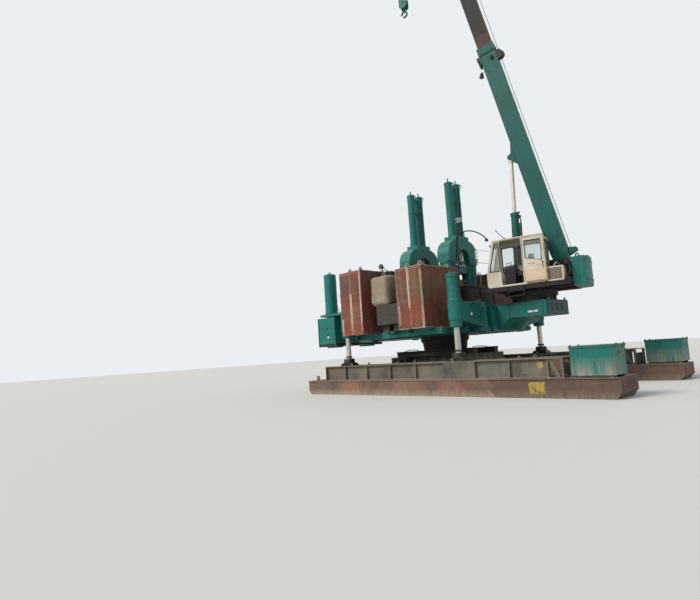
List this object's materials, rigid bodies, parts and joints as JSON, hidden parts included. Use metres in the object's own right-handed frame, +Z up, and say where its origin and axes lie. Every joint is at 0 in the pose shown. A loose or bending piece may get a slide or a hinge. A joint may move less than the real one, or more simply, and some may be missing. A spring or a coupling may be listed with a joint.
{
  "type": "walking jack-in pile driver rig with slewing crane",
  "caption": "Walking pile driver rig on long and short pontoon shoes, with pressing frames, clamp, ballast, outrigger legs and a slewing crane with telescopic boom.",
  "frame": {"origin": "on the ground, at the centre of the machine footprint box", "axes": "+X along the long hulls toward the crane end, +Y to the left seen from behind the crane end, +Z up"},
  "size_m": [14.2299, 7.5, 26.9764],
  "materials": {
    "teal_paint": "weathered teal paint on steel",
    "cream_paint": "cream paint on sheet steel",
    "rusty_steel": "rusty plate with worn paint",
    "girder_steel": "grey-brown mill steel",
    "rod_chrome": "hard-chromed cylinder rods, dulled",
    "dark_steel": "dark greasy steel",
    "boom_grey": "worn dark grey paint",
    "concrete": "cast concrete",
    "cab_glass": "clear safety glass",
    "rope_steel": "greased wire rope",
    "seat_black": "worn seat cloth"
  },
  "bodies": {
    "machine": {"main_body": "teal_paint", "tail_beam": "teal_paint", "outrigger_arms": "teal_paint", "hinge_pins": "dark_steel", "ballast_racks": "teal_paint", "ballast_slabs": "rusty_steel", "concrete_blocks": "concrete", "spacer_stacks": "girder_steel", "press_frames": "teal_paint", "press_cylinders": "teal_paint", "side_press_frame": "teal_paint", "leg_barrels": "teal_paint", "crane_pedestal": "dark_steel", "power_pack": "dark_steel", "work_lamps": "dark_steel"},
    "clamp": {"clamp_box": "teal_paint", "press_rods": "rod_chrome"},
    "side_unit": {"side_clamp": "teal_paint", "side_rods": "rod_chrome"},
    "legs_near": {"leg_rods_near": "rod_chrome", "trolleys_near": "dark_steel"},
    "legs_far": {"leg_rods_far": "rod_chrome", "trolleys_far": "dark_steel"},
    "ship_near": {"hull_near": "rusty_steel", "girder_near": "girder_steel", "toolbox_near": "teal_paint"},
    "ship_far": {"hull_far": "rusty_steel", "girder_far": "girder_steel", "toolbox_far": "teal_paint"},
    "carriage": {"turning_carriage": "dark_steel"},
    "short_pair": {"short_shoes": "rusty_steel"},
    "crane": {"slew_deck": "dark_steel", "cab_shell": "cream_paint", "cab_glass": "cab_glass", "cab_seat": "dark_steel", "seat_cushions": "seat_black", "engine_cover": "dark_steel", "cooler": "cream_paint", "crane_weight": "teal_paint", "winch": "dark_steel"},
    "door": {"cab_door": "cream_paint", "door_glass": "cab_glass"},
    "lift_tube": {"lift_barrel": "teal_paint"},
    "lift_ram": {"lift_rod": "rod_chrome"},
    "boom": {"boom_base": "teal_paint"},
    "boom_middle": {"boom_mid": "boom_grey"},
    "boom_end": {"boom_tip": "boom_grey"},
    "hook": {"hook_rope": "rope_steel", "hook_block": "teal_paint"}
  },
  "joints": [
    {"name": "clamp_press", "type": "slide", "parent": "machine", "child": "clamp", "axis": [0, 0, 1], "range_m": [-1.5, 0]},
    {"name": "side_press", "type": "slide", "parent": "machine", "child": "side_unit", "axis": [0, 0, 1], "range_m": [-1.1, 0]},
    {"name": "near_legs", "type": "slide", "parent": "machine", "child": "legs_near", "axis": [0, 0, 1], "range_m": [-0.55, 0.55]},
    {"name": "far_legs", "type": "slide", "parent": "machine", "child": "legs_far", "axis": [0, 0, 1], "range_m": [-0.55, 0.55]},
    {"name": "near_walk", "type": "slide", "parent": "legs_near", "child": "ship_near", "axis": [1, 0, 0], "range_m": [-3.1, 0.3]},
    {"name": "far_walk", "type": "slide", "parent": "legs_far", "child": "ship_far", "axis": [1, 0, 0], "range_m": [-3.1, 0.3]},
    {"name": "carriage_turn", "type": "hinge", "parent": "machine", "child": "carriage", "pos_m": [-0.835, 0, 2], "axis": [0, 0, 1], "range_deg": [-8, 8]},
    {"name": "side_walk", "type": "slide", "parent": "carriage", "child": "short_pair", "axis": [0, 1, 0], "range_m": [-0.3, 0.3]},
    {"name": "crane_slew", "type": "hinge", "parent": "machine", "child": "crane", "pos_m": [3.265, 0, 3.42], "axis": [0, 0, 1], "continuous": true},
    {"name": "cab_door_swing", "type": "hinge", "parent": "crane", "child": "door", "pos_m": [3.56061, -1.21044, 4.4], "axis": [0, 0, -1], "range_deg": [0, 180]},
    {"name": "boom_luff", "type": "hinge", "parent": "crane", "child": "boom", "pos_m": [4.39054, 0.28063, 4.2], "axis": [-0.2419, 0.9703, 0], "range_deg": [-30, 2.4]},
    {"name": "lift_tube_lean", "type": "hinge", "parent": "crane", "child": "lift_tube", "pos_m": [2.79926, -0.11612, 3.95], "axis": [-0.2419, 0.9703, 0], "range_deg": [-30.49, 2.53]},
    {"name": "lift_ram_out", "type": "slide", "parent": "lift_tube", "child": "lift_ram", "axis": [0.0332, 0.0083, 0.9994], "range_m": [-0.87, 0.079]},
    {"name": "boom_retract", "type": "slide", "parent": "boom", "child": "boom_middle", "axis": [0.21, 0.0524, -0.9763], "range_m": [-0.6, 5.9]},
    {"name": "boom_end_retract", "type": "slide", "parent": "boom_middle", "child": "boom_end", "axis": [0.21, 0.0524, -0.9763], "range_m": [-0.6, 5.7]},
    {"name": "hook_swing", "type": "hinge", "parent": "boom_end", "child": "hook", "pos_m": [-0.80686, -1.01523, 26.72647], "axis": [0.2419, -0.9703, 0], "range_deg": [-30, 3]}
  ],
  "couplings": [
    {"joint": "lift_tube_lean", "follows": "boom_luff", "ratio": 1.013},
    {"joint": "lift_ram_out", "follows": "boom_luff", "m_per_rad": 1.642},
    {"joint": "boom_end_retract", "follows": "boom_retract", "ratio": 0.95}
  ]
}
